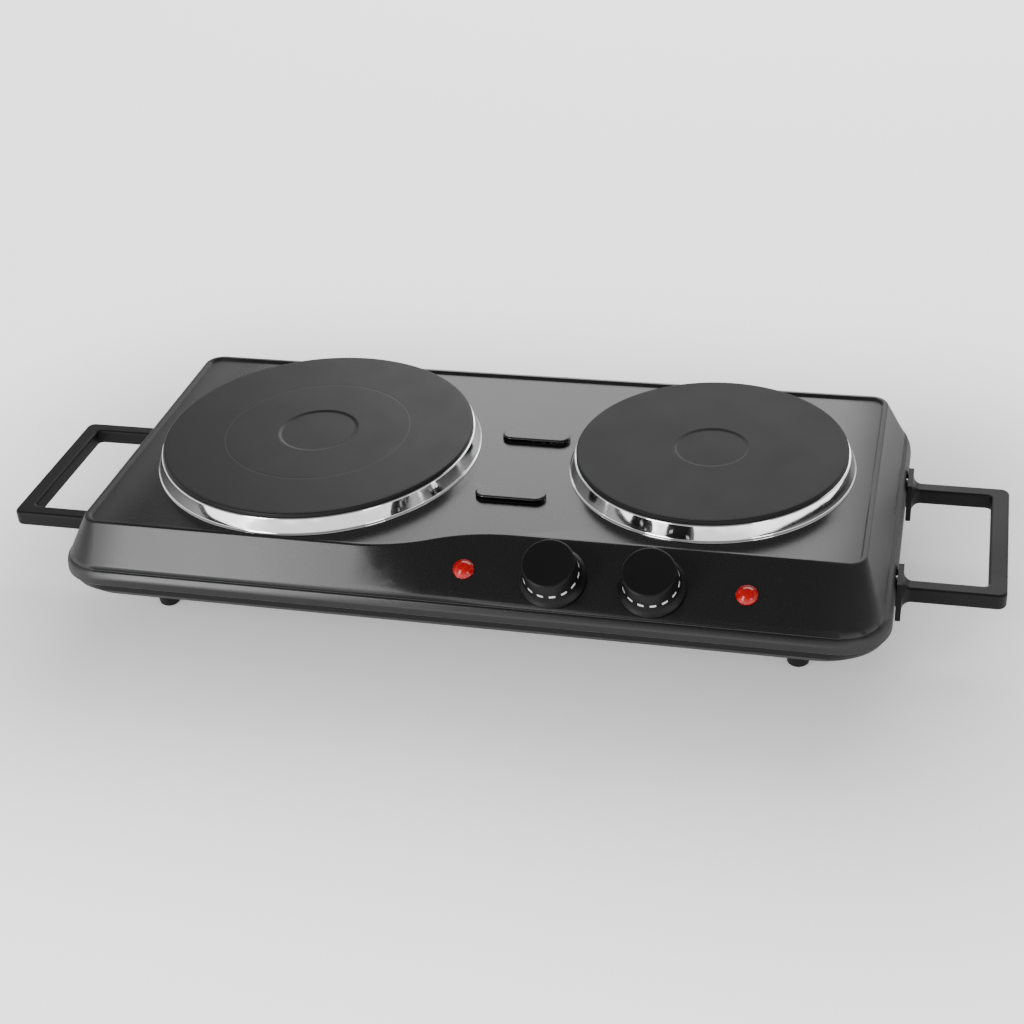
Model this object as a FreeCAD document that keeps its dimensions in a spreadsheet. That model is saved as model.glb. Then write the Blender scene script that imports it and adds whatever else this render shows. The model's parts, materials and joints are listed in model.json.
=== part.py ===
import FreeCAD, Part
import math
import os
import re

import Sketcher

# Double electric hot plate. X runs to the right, Y to the back, Z up. The origin is on the table under
# the middle of the body; the large plate's centre is on the Y = 0 line. Lengths are in millimetres.

DIMENSIONS = [
    ("sheet_wall", 0.8, "thickness of the pressed steel"),
    ("deck_top", 68.0, "flat deck between the raised bead and the plates"),
    ("bead_top", 69.5, "top of the bead that runs round the deck"),
    ("bead_width", 3.0, "width of that bead"),
    ("bead_round", 0.9, "height of the bead's rounded outer edge"),
    ("bead_side", 0.35, "how far the wall has come out at the foot of that rounding"),
    ("bead_panel", 1.5, "the same, above the control panel"),
    ("ridge_side", 219.5, "bead's outer edge, left and right of the middle"),
    ("ridge_back", 102.2, "bead's outer edge at the back"),
    ("ridge_left", 100.0, "bead's outer edge at the front, in front of the large plate"),
    ("ridge_right", 79.2, "bead's outer edge at the front, behind the control panel"),
    ("ridge_corner", 10.0, "corner radius of the bead in plan"),
    ("swerve_start", -56.0, "where the front edge starts to swing back to the panel"),
    ("swerve_middle", -14.0, "middle of that S-shaped swing"),
    ("swerve_end", 28.0, "where the swing ends"),
    ("lip_top", 52.2, "lower end of the flat control panel"),
    ("lip_side", 228.2, "half width of the body there"),
    ("lip_left", 112.2, "front of the body there, left part"),
    ("lip_right", 110.1, "front of the body there, right part"),
    ("nose_top", 50.0, "where the rounded lower edge of the panel turns down"),
    ("nose_side", 229.3, "half width of the body there"),
    ("nose_left", 113.7, "front of the body there, left part"),
    ("nose_right", 113.1, "front of the body there, right part"),
    ("groove_top", 47.9, "upper edge of the groove round the body"),
    ("groove_side", 230.4, "half width at the groove"),
    ("groove_front", 115.3, "front and back of the body at the groove"),
    ("groove_depth", 1.0, "depth of the groove"),
    ("band_side", 235.0, "half width of the band under the groove, the body's widest place"),
    ("band_front", 117.2, "front and back of that band"),
    ("band_low", 37.4, "lower edge of the pressed shell"),
    ("floor_low", 22.0, "underside of the base plate"),
    ("floor_side", 212.0, "half width of the flat base"),
    ("floor_front", 95.0, "half depth of the flat base"),
    ("plate_top", 80.0, "cooking surface above the table"),
    ("large_across", -108.2, "large plate's centre"),
    ("large_back", 0.0, "large plate's centre"),
    ("large_radius", 92.5, "radius of the large plate"),
    ("small_across", 125.3, "small plate's centre"),
    ("small_back", 11.6, "small plate's centre"),
    ("small_radius", 77.5, "radius of the small plate"),
    ("dish_radius", 23.0, "radius of the sunk middle of a plate"),
    ("dish_depth", 0.6, "depth of the sunk middle"),
    ("rim_drop", 2.6, "bare edge of the iron above its trim ring"),
    ("stud_radius", 3.0, "clamping stud and its nuts' bore"),
    ("control_front", 99.5, "line of the controls, in front of the middle"),
    ("large_knob_across", 56.2, "knob of the large plate"),
    ("small_knob_across", 110.0, "knob of the small plate"),
    ("left_lamp_across", 6.5, "lamp of the large plate"),
    ("right_lamp_across", 160.0, "lamp of the small plate"),
    ("knob_face", 14.0, "radius of a knob's face"),
    ("knob_skirt", 18.4, "radius of a knob's skirt"),
    ("knob_height", 18.5, "knob's face above the panel"),
    ("knob_gap", 0.7, "gap between a knob and the panel"),
    ("shaft_radius", 3.0, "thermostat shaft"),
    ("shaft_play", 0.05, "radial clearance of the shaft in its bushing"),
    ("bushing_radius", 5.0, "threaded bushing that holds a thermostat in the panel"),
    ("lens_radius", 5.8, "lamp lens"),
    ("lens_height", 3.6, "lamp lens above the panel"),
    ("handle_reach", 57.9, "how far a handle stands out of the body"),
    ("handle_span", 109.5, "length of a handle, front to back"),
    ("handle_middle", 2.55, "middle of the handles, front to back"),
    ("handle_low", 28.7, "underside of the handle bars"),
    ("handle_thick", 9.4, "height of the handle bars"),
    ("arm_width", 9.0, "width of a handle's arms"),
    ("grip_width", 10.0, "width of a handle's grip"),
    ("pad_wide", 21.0, "width of a handle's mounting pad"),
    ("pad_low", 20.0, "lower edge of a mounting pad"),
    ("pad_high", 44.0, "upper edge of a mounting pad"),
    ("pad_thick", 3.0, "thickness of a mounting pad"),
    ("foot_across", 185.5, "feet, left and right of the middle"),
    ("foot_front", 76.0, "feet, front and back of the middle"),
    ("foot_radius", 6.0, "radius of a foot at the table"),
    ("post_radius", 4.0, "posts between deck and base"),
    ("louvre_across", 18.5, "centre of the vent louvres"),
    ("louvre_front", -38.0, "front louvre"),
    ("louvre_back", 27.0, "back louvre"),
    ("louvre_length", 41.0, "length of a louvre"),
    ("louvre_width", 12.0, "width of a louvre"),
    ("louvre_height", 3.0, "height of a louvre above the deck"),
    ("cord_bore", 4.0, "radius of the cord bushing's bore"),
    ("cord_across", 18.5, "cord bushing"),
    ("cord_high", 58.7, "cord bushing above the table"),
    ("cord_reach", 4.0, "cord bushing's end, measured out from the wall"),
    ("wire_radius", 1.1, "radius of an insulated wire inside"),
    ("centre_shift", 1.79, "moves every piece back, so that the whole with its knobs is centred"),
]

doc = FreeCAD.newDocument("double_hot_plate")
sheet = doc.addObject("Spreadsheet::Sheet", "Dims")
for row, (alias, amount, note) in enumerate(DIMENSIONS, start=1):
    sheet.set(f"A{row}", alias)
    sheet.set(f"B{row}", str(amount))
    sheet.set(f"C{row}", note)
    sheet.setAlias(f"B{row}", alias)
doc.recompute()

ALIASES = {alias for alias, amount, note in DIMENSIONS}
X_AXIS = FreeCAD.Vector(1, 0, 0)
Y_AXIS = FreeCAD.Vector(0, 1, 0)
Z_AXIS = FreeCAD.Vector(0, 0, 1)
parts = []


def bound(text):
    """An expression in the sheet's words, such as "plate_top - 2", written the way FreeCAD binds it."""
    words = re.compile(r"[a-z]+(?:_[a-z]+)+")
    return words.sub(lambda found: "Dims." + found.group() if found.group() in ALIASES else found.group(), text)


def number(text):
    """The value of such an expression."""
    return float(sheet.evalExpression(bound(str(text))))


def sub_part(thing, label, placement=FreeCAD.Placement()):
    """Name a finished piece and put it in its place."""
    thing.Label = label
    whole_shift = FreeCAD.Placement(FreeCAD.Vector(0, number("centre_shift"), 0), FreeCAD.Rotation())
    thing.Placement = whole_shift * placement
    parts.append(thing)
    return thing


def body(label, placement=FreeCAD.Placement()):
    return sub_part(doc.addObject("PartDesign::Body", label), label, placement)


def sketch(owner, plane, name, offset="0", tilt=None):
    """An empty sketch on one of the body's own planes, moved along its normal, or set at a tilt."""
    drawn = owner.newObject("Sketcher::SketchObject", name)
    base = [feature for feature in owner.Origin.OriginFeatures if feature.Role == plane][0]
    drawn.AttachmentSupport = [(base, "")]
    drawn.MapMode = "FlatFace"
    if tilt is not None:
        drawn.AttachmentOffset = tilt
    elif offset != "0":
        drawn.setExpression("AttachmentOffset.Base.z", bound(offset))
    return drawn


def fix(drawn, kind, *where):
    """Add a constraint whose last value is an expression on the sheet."""
    index = drawn.addConstraint(Sketcher.Constraint(kind, *where[:-1], number(where[-1])))
    drawn.setExpression(f"Constraints[{index}]", bound(where[-1]))


def outline(drawn, points):
    """Draw a closed outline. A point is (x, y), or (x, y, radius, turn) where an arc leaves it:
    turn is 1 for an arc that bends to the left and -1 for one that bends to the right."""
    first = drawn.GeometryCount
    spots = [FreeCAD.Vector(number(point[0]), number(point[1]), 0) for point in points]
    ends = []
    half_circles = set()
    for index, point in enumerate(points):
        start = spots[index]
        stop = spots[(index + 1) % len(points)]
        if len(point) == 2:
            drawn.addGeometry(Part.LineSegment(start, stop), False)
            ends.append((1, 2))
            continue
        radius = number(point[2])
        turn = point[3]
        chord = stop - start
        if abs(chord.Length / 2 - radius) < 0.0001:
            half_circles.add(index)
        side = FreeCAD.Vector(-chord.y, chord.x, 0).normalize() * turn
        centre = (start + stop) * 0.5 + side * math.sqrt(max(radius**2 - chord.Length**2 / 4, 0))
        low, high = (start, stop) if turn > 0 else (stop, start)
        angles = [math.atan2(spot.y - centre.y, spot.x - centre.x) for spot in (low, high)]
        drawn.addGeometry(Part.ArcOfCircle(Part.Circle(centre, Z_AXIS, radius), *angles), False)
        ends.append((1, 2) if turn > 0 else (2, 1))
    for index, point in enumerate(points):
        edge = first + index
        before = first + (index - 1) % len(points)
        start_end = ends[index][0]
        joint = "Tangent" if index in half_circles else "Coincident"
        drawn.addConstraint(Sketcher.Constraint(joint, before, ends[index - 1][1], edge, start_end))
        fix(drawn, "DistanceX", edge, start_end, str(point[0]))
        fix(drawn, "DistanceY", edge, start_end, str(point[1]))
        if len(point) == 4 and index not in half_circles:
            fix(drawn, "Radius", edge, str(point[2]))


def circle(drawn, across, up, radius):
    """Draw a circle with its centre and radius bound to the sheet."""
    centre = FreeCAD.Vector(number(across), number(up), 0)
    edge = drawn.addGeometry(Part.Circle(centre, Z_AXIS, number(radius)), False)
    fix(drawn, "DistanceX", edge, 3, str(across))
    fix(drawn, "DistanceY", edge, 3, str(up))
    fix(drawn, "Radius", edge, str(radius))


def rectangle(drawn, left, low, right, high):
    outline(drawn, [(left, low), (right, low), (right, high), (left, high)])


def stadium(drawn, across, up, length, width):
    """A slot with round ends, its length along X."""
    half = f"(({length}) - ({width})) / 2"
    round_end = f"({width}) / 2"
    left = f"({across}) - ({half})"
    right = f"({across}) + ({half})"
    low = f"({up}) - ({round_end})"
    high = f"({up}) + ({round_end})"
    outline(drawn, [(left, low), (right, low, round_end, 1), (right, high), (left, high, round_end, 1)])


def pad(owner, drawn, length, both_ways=False, backwards=False):
    feature = owner.newObject("PartDesign::Pad", drawn.Name + "_pad")
    feature.Profile = drawn
    feature.setExpression("Length", bound(length))
    feature.Midplane = both_ways
    feature.Reversed = backwards
    return feature


def pocket(owner, drawn, length, backwards=False, through=False, both_ways=False):
    """Cut the sketch out of the body, and make sure that it cuts something."""
    doc.recompute()
    before = owner.Shape.Volume
    feature = owner.newObject("PartDesign::Pocket", drawn.Name + "_cut")
    feature.Profile = drawn
    feature.Midplane = both_ways
    feature.Reversed = backwards
    if through:
        feature.Type = "ThroughAll"
    else:
        feature.setExpression("Length", bound(length))
    doc.recompute()
    if owner.Shape.Volume > before - 0.01:
        raise RuntimeError(f"{feature.Name} cuts nothing")
    return feature


def revolve(owner, points, name="profile"):
    """Turn an outline of (radius, height) points about the body's own Z axis."""
    drawn = sketch(owner, "XZ_Plane", owner.Name + "_" + name)
    outline(drawn, points)
    feature = owner.newObject("PartDesign::Revolution", drawn.Name + "_turned")
    feature.Profile = drawn
    feature.ReferenceAxis = (drawn, ["V_Axis"])
    feature.Angle = 360
    return feature


def round_edges(owner, test, radius):
    """Round every edge of the body that passes the test."""
    doc.recompute()
    base = owner.Tip
    names = [f"Edge{index + 1}" for index, edge in enumerate(base.Shape.Edges) if test(edge)]
    feature = owner.newObject("PartDesign::Fillet", owner.Name + "_round")
    feature.Base = (base, names)
    feature.Radius = radius
    doc.recompute()
    if "Invalid" in feature.State or not feature.Shape.isValid() or feature.Shape.Volume < 1:
        raise RuntimeError(f"{owner.Label}: {len(names)} edges can't be rounded by {radius}")
    return feature


def middle_of(edge):
    """The point half way along an edge."""
    return edge.valueAt((edge.FirstParameter + edge.LastParameter) / 2)


def turned(x, y, z, axis=Z_AXIS, angle=0):
    return FreeCAD.Placement(FreeCAD.Vector(x, y, z), FreeCAD.Rotation(axis, angle))


def front_edge(x, left, right):
    """How far the shell's front stands before the middle, at a level with these two straight parts."""
    start, end = number("swerve_start"), number("swerve_end")
    drop = (left - right) / 2
    if x <= start:
        return left
    if x >= end:
        return right
    reach = (end - start) / 2
    bend = (reach**2 + drop**2) / (2 * drop)
    if x < start + reach:
        return left - bend + math.sqrt(bend**2 - (x - start) ** 2)
    return right + bend - math.sqrt(bend**2 - (end - x) ** 2)


def on_panel(across):
    """The place of a control: its origin on the panel's outer face, its Z axis square out of the panel."""
    x = number(across)
    high, low = number("bead_top - bead_round"), number("lip_top")
    top_sizes = number("ridge_left + bead_side"), number("ridge_right + bead_panel")
    low_sizes = number("lip_left"), number("lip_right")
    top, bottom = front_edge(x, *top_sizes), front_edge(x, *low_sizes)
    share = (number("control_front") - top) / (bottom - top)
    beside = [
        (1 - share) * front_edge(x + step, *top_sizes) + share * front_edge(x + step, *low_sizes)
        for step in (-1, 1)
    ]
    swing = math.atan2(beside[0] - beside[1], 2)
    across_slope = FreeCAD.Vector(math.cos(swing), math.sin(swing), 0)
    tilt = math.degrees(math.atan2(high - low, bottom - top))
    return turned(x, -number("control_front"), high - share * (high - low), across_slope, tilt)


# Shell and base: outlines at several heights, ruled into each other.


def plan(drawn, side, back, left, right, corner):
    """The body's outline at one height: straight sides and back, and a front that swings back on the right."""
    side, back, left, right, corner = (f"({size})" for size in (side, back, left, right, corner))
    middle = f"({left} + {right}) / 2"
    reach = "((swerve_end - swerve_start) / 2)"
    drop = f"(({left} - {right}) / 2)"
    straight = abs(number(drop)) < 0.01
    bend = f"({reach}^2 + {drop}^2) / (2 * {drop})"
    first_bend = () if straight else (bend, 1)
    second_bend = () if straight else (bend, -1)
    outline(
        drawn,
        [
            (f"{corner} - {side}", f"-{left}"),
            ("swerve_start", f"-{left}", *first_bend),
            ("swerve_middle", f"-({middle})", *second_bend),
            ("swerve_end", f"-{right}"),
            (f"{side} - {corner}", f"-{right}", corner, 1),
            (side, f"{corner} - {right}"),
            (side, f"{back} - {corner}", corner, 1),
            (f"{side} - {corner}", back),
            (f"{corner} - {side}", back, corner, 1),
            (f"-{side}", f"{back} - {corner}"),
            (f"-{side}", f"{corner} - {left}", corner, 1),
        ],
    )


def loft(owner, kind, levels, name):
    """Rule a solid, or a hollow, through plans at several heights. The levels are given from low to high, and
    the loft is made from high to low, because the other way round it comes out inside out."""
    drawn = []
    for index, (height, *sizes) in enumerate(reversed(levels)):
        drawn.append(sketch(owner, "XY_Plane", f"{owner.Name}_{name}_{index}", height))
        plan(drawn[-1], *sizes)
    feature = owner.newObject("PartDesign::" + kind, f"{owner.Name}_{name}")
    feature.Profile = drawn[0]
    feature.Sections = drawn[1:]
    feature.Ruled = True
    doc.recompute()
    return feature


def even(height, side, front, corner):
    """A level whose front is straight and whose back is as far out as its front."""
    return (height, side, front, front, front, corner)


def around(height, outward, panel_outward):
    """A level of the deck's raised bead, moved outwards from its nominal edge."""
    sizes = [f"{name} + {outward}" for name in ("ridge_side", "ridge_back", "ridge_left")]
    corner = f"ridge_corner + {outward}"
    return (height, *sizes, f"ridge_right + {panel_outward}", corner)


housing = body("top_housing")
loft(
    housing,
    "AdditiveLoft",
    [
        even("band_low", "band_side - 0.8", "band_front - 0.9", "28"),
        even("band_low + 1", "band_side", "band_front - 0.1", "28.5"),
        even("band_low + 4.8", "band_side - 0.6", "band_front", "28"),
        even("groove_top - 2.3", "groove_side + 2.2", "groove_front + 1", "25"),
        even("groove_top - 1.5", "groove_side - 0.6", "groove_front - 0.7", "22"),
        even("groove_top - 0.7", "groove_side - 0.8", "groove_front - groove_depth", "21.5"),
        even("groove_top", "groove_side", "groove_front", "22"),
        ("nose_top", "nose_side", "nose_left", "nose_left", "nose_right", "21"),
        ("lip_top", "lip_side", "lip_left", "lip_left", "lip_right", "19.5"),
        around("bead_top - bead_round", "bead_side", "bead_panel"),
        around("bead_top - 0.25", "-0.2", "0.1"),
        around("bead_top", "-1", "-0.8"),
    ],
    "skin",
)
loft(
    housing,
    "SubtractiveLoft",
    [
        around("deck_top", "-bead_width - 1", "-bead_width"),
        around("bead_top - 0.5", "-bead_width", "-bead_width + 0.6"),
        around("bead_top + 0.1", "-bead_width + 0.8", "-bead_width + 1.2"),
    ],
    "recess",
)
loft(
    housing,
    "SubtractiveLoft",
    [
        even("band_low - 1", "band_side - 1.7", "band_front - 1.9", "27"),
        even("groove_top - 3.3", "band_side - 1.9", "band_front - 1.9", "26"),
        even("groove_top - 1.5", "groove_side - 1.7", "groove_front - 1.9", "21"),
        ("lip_top", "lip_side - 0.9", "lip_left - 1", "lip_left - 1", "lip_right - 1.6", "19"),
        (
            "deck_top - sheet_wall",
            "ridge_side + 0.2",
            "ridge_back + 0.3",
            "ridge_left + 0.6",
            "ridge_right + 2.4",
            "ridge_corner",
        ),
    ],
    "hollow",
)

plate_holes = sketch(housing, "XY_Plane", "plate_holes", "bead_top")
for size in ("large", "small"):
    circle(plate_holes, f"{size}_across", f"{size}_back", f"{size}_radius - 2.5")
pocket(housing, plate_holes, "bead_top - deck_top + sheet_wall + 1")

# Vent louvres: raised ovals, hollow below, open in front.
louvre_tops = sketch(housing, "XY_Plane", "louvre_tops", "deck_top - 0.2")
louvre_hollows = sketch(housing, "XY_Plane", "louvre_hollows", "deck_top - sheet_wall - 1")
for place in ("louvre_front", "louvre_back"):
    stadium(louvre_tops, "louvre_across", place, "louvre_length", "louvre_width")
    stadium(louvre_hollows, "louvre_across", place, "louvre_length - 2", "louvre_width - 2")
pad(housing, louvre_tops, "louvre_height + 0.2")
louvre_crest = number("deck_top + louvre_height")
round_edges(housing, lambda edge: abs(middle_of(edge).z - louvre_crest) < 0.01, 1.2)
pocket(housing, louvre_hollows, "louvre_height + 1", backwards=True)
for place in ("louvre_front", "louvre_back"):
    slot = sketch(housing, "XZ_Plane", place + "_slot", f"louvre_width / 2 + 1 - {place}")
    rectangle(
        slot,
        "louvre_across - louvre_length / 2 + 1.5",
        "deck_top + 0.2",
        "louvre_across + louvre_length / 2 - 1.5",
        "deck_top + louvre_height - 0.8",
    )
    pocket(housing, slot, "louvre_width / 2")

# Holes for the controls, square to the panel.
for across, radius in (
    ("large_knob_across", "bushing_radius + 0.2"),
    ("small_knob_across", "bushing_radius + 0.2"),
    ("left_lamp_across", "lens_radius - 1.3"),
    ("right_lamp_across", "lens_radius - 1.3"),
):
    above = on_panel(across) * turned(0, 0, 3)
    hole = sketch(housing, "XY_Plane", across + "_hole", tilt=above)
    circle(hole, "0", "0", radius)
    pocket(housing, hole, "7")

# Hole for the cord bushing, square to the back wall.
wall_lean = math.atan2(
    number("lip_left - ridge_back - bead_side"),
    number("bead_top - bead_round - lip_top"),
)
cord_y = number("lip_left") - number("cord_high - lip_top") * math.tan(wall_lean)
cord_place = turned(number("cord_across"), cord_y, number("cord_high"), X_AXIS, math.degrees(wall_lean) - 90)
cord_hole = sketch(housing, "XY_Plane", "cord_hole", tilt=cord_place * turned(0, 0, 3))
circle(cord_hole, "0", "0", "cord_bore + 2.5")
pocket(housing, cord_hole, "7")

# Holes for the handle screws, through both side walls.
screw_holes = sketch(housing, "YZ_Plane", "screw_holes")
for sign in ("+", "-"):
    circle(screw_holes, f"handle_middle {sign} (handle_span - arm_width) / 2", "pad_high - 3", "2.2")
pocket(housing, screw_holes, "10", through=True, both_ways=True)


# Base plate: a shallow dish whose rim stands inside the shell.

# Each level: height, half width, half depth, corner, then how far the inside stands above it and within it.
DISH = [
    ("floor_low", "floor_side", "floor_front", "34", "sheet_wall", 0.2),
    ("floor_low + 2.5", "floor_side + 8", "floor_front + 7.5", "36", "0.6 * sheet_wall", 0.5),
    ("floor_low + 4.8", "floor_side + 14.5", "floor_front + 13.5", "35", "0.5 * sheet_wall", 0.6),
    ("floor_low + 7.5", "floor_side + 18.5", "floor_front + 17.2", "32", "0.3 * sheet_wall", 0.7),
    ("floor_low + 11", "floor_side + 20.6", "floor_front + 19.7", "29", "0.1 * sheet_wall", 0.8),
    ("band_low - 0.8", "floor_side + 21.3", "floor_front + 20.5", "28", "0.5 * sheet_wall", 0.8),
]

base = body("base_plate")
loft(base, "AdditiveLoft", [even(*level[:4]) for level in DISH], "dish")
inside = [
    even(f"{height} + {lift}", f"{side} - {inset}", f"{front} - {inset}", corner)
    for height, side, front, corner, lift, inset in DISH
]
loft(base, "SubtractiveLoft", inside, "inside")
rim = sketch(base, "XY_Plane", "rim", "band_low - 2")
plan(rim, "floor_side + 20.9", "floor_front + 20.1", "floor_front + 20.1", "floor_front + 20.1", "27.5")
plan(rim, "floor_side + 20.1", "floor_front + 19.3", "floor_front + 19.3", "floor_front + 19.3", "26.7")
pad(base, rim, "8.6")
rim_holes = sketch(base, "YZ_Plane", "rim_holes")
for sign in ("+", "-"):
    circle(rim_holes, f"handle_middle {sign} (handle_span - arm_width) / 2", "pad_high - 3", "1.7")
pocket(base, rim_holes, "10", through=True, both_ways=True)
vents = sketch(base, "XY_Plane", "vents", "floor_low")
for centre in ("large_across", "small_across - 10"):
    for index in range(6):
        stadium(vents, centre, str(14 * index - 35), "44", "4.5")
pocket(base, vents, "2", backwards=True)
base_holes = sketch(base, "XY_Plane", "base_holes", "floor_low")
for across in ("foot_across", "-foot_across"):
    for back in ("foot_front", "-foot_front"):
        circle(base_holes, across, back, "2.2")
pocket(base, base_holes, "2", backwards=True)


# Handles: a square loop whose two arms flare into screwed pads.


# Section of the wedge that fills the gap between a pad and the base, below the band.
WEDGE = [
    ("0.2", "band_low - 9"),
    ("0.2", "band_low - 0.4"),
    ("-1.2", "band_low - 0.4"),
    ("-1.9", "band_low - 4.4"),
    ("-3.9", "band_low - 7.7"),
    ("-3.9", "band_low - 9"),
]


def handle(label, placement):
    owner = body(label, placement)
    half = "handle_span / 2"
    loop = sketch(owner, "XY_Plane", label + "_loop", "handle_low")
    outline(
        loop,
        [
            ("pad_thick - 0.5", f"-{half}"),
            ("handle_reach - 5", f"-{half}", "5", 1),
            ("handle_reach", f"5 - {half}"),
            ("handle_reach", f"{half} - 5", "5", 1),
            ("handle_reach - 5", half),
            ("pad_thick - 0.5", half),
            ("pad_thick - 0.5", f"{half} - arm_width"),
            ("handle_reach - grip_width - 3", f"{half} - arm_width", "3", -1),
            ("handle_reach - grip_width", f"{half} - arm_width - 3"),
            ("handle_reach - grip_width", f"arm_width + 3 - {half}", "3", -1),
            ("handle_reach - grip_width - 3", f"arm_width - {half}"),
            ("pad_thick - 0.5", f"arm_width - {half}"),
        ],
    )
    pad(owner, loop, "handle_thick")
    low = number("handle_low")
    high = low + number("handle_thick")
    start = number("pad_thick")
    round_edges(
        owner,
        lambda edge: min(abs(middle_of(edge).z - low), abs(middle_of(edge).z - high)) < 0.01
        and middle_of(edge).x > start,
        1.6,
    )
    pads = sketch(owner, "YZ_Plane", label + "_pads")
    for sign in ("", "-"):
        centre = f"{sign}(handle_span - arm_width) / 2"
        rectangle(pads, f"{centre} - pad_wide / 2", "pad_low", f"{centre} + pad_wide / 2", "pad_high")
    pad(owner, pads, "pad_thick")
    round_edges(
        owner,
        lambda edge: abs(middle_of(edge).x - start) < 0.01
        and low - 0.1 < middle_of(edge).z < high + 0.1
        and edge.BoundBox.XLength < 0.01
        and edge.BoundBox.DiagonalLength < 12,
        5.0,
    )
    bores = sketch(owner, "YZ_Plane", label + "_bores")
    for sign in ("", "-"):
        circle(bores, f"{sign}(handle_span - arm_width) / 2", "pad_high - 3", "1.5")
    pocket(owner, bores, "pad_thick - 0.4", backwards=True)
    for sign, end in (("", "front"), ("-", "back")):
        centre = f"{sign}(handle_span - arm_width) / 2"
        wedge = sketch(owner, "XZ_Plane", f"{label}_{end}_wedge", f"-({centre})")
        outline(wedge, WEDGE)
        pad(owner, wedge, "pad_wide - 5", both_ways=True)


handle("right_handle", turned(number("band_side"), number("handle_middle"), 0))
handle("left_handle", turned(-number("band_side"), number("handle_middle"), 0, Z_AXIS, 180))


# Cooking plates, each clamped to the deck by a stud and a strap below it.


def at_plate(size, height="0"):
    return turned(number(f"{size}_across"), number(f"{size}_back"), number(height))


def cooking_plate(size):
    edge = f"{size}_radius"
    owner = body(f"{size}_plate", at_plate(size))
    revolve(
        owner,
        [
            ("0", "plate_top - 22.2"),
            ("14", "plate_top - 22.2"),
            ("15", "plate_top - 10"),
            (f"{edge} - 8.5", "plate_top - 10"),
            (f"{edge} - 8.5", "plate_top - 17"),
            (f"{edge} - 4.5", "plate_top - 17"),
            (f"{edge} - 4.5", "plate_top - 10"),
            (f"{edge} - 1.3", "plate_top - 8"),
            (f"{edge} - 1.3", "plate_top - rim_drop"),
            (edge, "plate_top - rim_drop"),
            (edge, "plate_top - 0.8", "0.8", 1),
            (f"{edge} - 0.8", "plate_top"),
            ("dish_radius + 0.8", "plate_top"),
            ("dish_radius", "plate_top - dish_depth"),
            ("0", "plate_top - dish_depth"),
        ],
    )
    bore = sketch(owner, "XY_Plane", f"{size}_stud_bore", "plate_top - 22.2")
    circle(bore, "0", "0", "stud_radius")
    pocket(owner, bore, "16", backwards=True)


def trim_ring(size):
    edge = f"{size}_radius"
    owner = body(f"{size}_trim_ring", at_plate(size))
    revolve(
        owner,
        [
            (f"{edge} - 1.2", "plate_top - rim_drop - 0.6"),
            (f"{edge} + 0.4", "plate_top - rim_drop - 0.6"),
            (f"{edge} + 2.6", "deck_top + 1.2"),
            (f"{edge} + 2.8", "deck_top"),
            (f"{edge} + 4.2", "deck_top"),
            (f"{edge} + 4.2", "deck_top + 0.5"),
            (f"{edge} + 3.3", "deck_top + 1.1"),
            (f"{edge} + 1", "plate_top - rim_drop - 0.4"),
            (f"{edge} + 0.6", "plate_top - rim_drop"),
            (f"{edge} - 1.2", "plate_top - rim_drop"),
        ],
    )


def heating_coil(size, turns):
    """A flat spiral of half circles, its centres a pitch apart in turn."""
    pitch = (number(f"{size}_radius") - 42) / turns
    section = 2.5
    level = number("plate_top") - 12.6
    arcs = []
    start = 22.0
    for index in range(2 * turns):
        radius = start + index * pitch / 2
        middle = 0 if index % 2 == 0 else pitch / 2
        top = 1 if index % 2 == 0 else -1
        arcs.append(
            Part.Arc(
                FreeCAD.Vector(middle + top * radius, 0, level),
                FreeCAD.Vector(middle, top * radius, level),
                FreeCAD.Vector(middle - top * radius, 0, level),
            ).toShape()
        )
    path = Part.Wire(arcs)
    profile = Part.Wire([Part.makeCircle(section, FreeCAD.Vector(start, 0, level), Y_AXIS)])
    coil = doc.addObject("Part::Feature", f"{size}_heating_coil")
    coil.Shape = path.makePipeShell([profile], True, False)
    sub_part(coil, f"{size}_heating_coil", at_plate(size))


def insulation(size):
    owner = body(f"{size}_insulation_disc", at_plate(size))
    edge = f"{size}_radius - 9.5"
    revolve(
        owner,
        [
            ("17", "plate_top - 21.2"),
            (edge, "plate_top - 21.2"),
            (edge, "plate_top - 17.4"),
            (f"{edge} - 1", "plate_top - 15.8"),
            ("17", "plate_top - 15.8"),
        ],
    )


def cover_pan(size):
    edge = f"{size}_radius - 8.6"
    owner = body(f"{size}_cover_pan", at_plate(size))
    revolve(
        owner,
        [
            ("stud_radius + 0.4", "plate_top - 23"),
            (edge, "plate_top - 23"),
            (edge, "plate_top - 17.2"),
            (f"{edge} - 0.8", "plate_top - 17.2"),
            (f"{edge} - 0.8", "plate_top - 22.2"),
            ("stud_radius + 0.4", "plate_top - 22.2"),
        ],
    )


def clamp_strap(size):
    """A hat-shaped strap that bridges the deck's hole from below."""
    owner = body(f"{size}_clamp_strap", at_plate(size))
    half = f"({size}_radius + 1.5)"
    under = "deck_top - sheet_wall"
    drawn = sketch(owner, "XZ_Plane", f"{size}_strap")
    outline(
        drawn,
        [
            (f"-{half} - 9", f"{under} - 2"),
            (f"-{half}", f"{under} - 2"),
            (f"-{half}", "plate_top - 30"),
            (half, "plate_top - 30"),
            (half, f"{under} - 2"),
            (f"{half} + 9", f"{under} - 2"),
            (f"{half} + 9", under),
            (f"{half} - 2", under),
            (f"{half} - 2", "plate_top - 28"),
            (f"2 - {half}", "plate_top - 28"),
            (f"2 - {half}", under),
            (f"-{half} - 9", under),
        ],
    )
    pad(owner, drawn, "16", both_ways=True)
    bore = sketch(owner, "XY_Plane", f"{size}_strap_bore", "plate_top - 31")
    circle(bore, "0", "0", "stud_radius + 0.4")
    pocket(owner, bore, "4", backwards=True)


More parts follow.
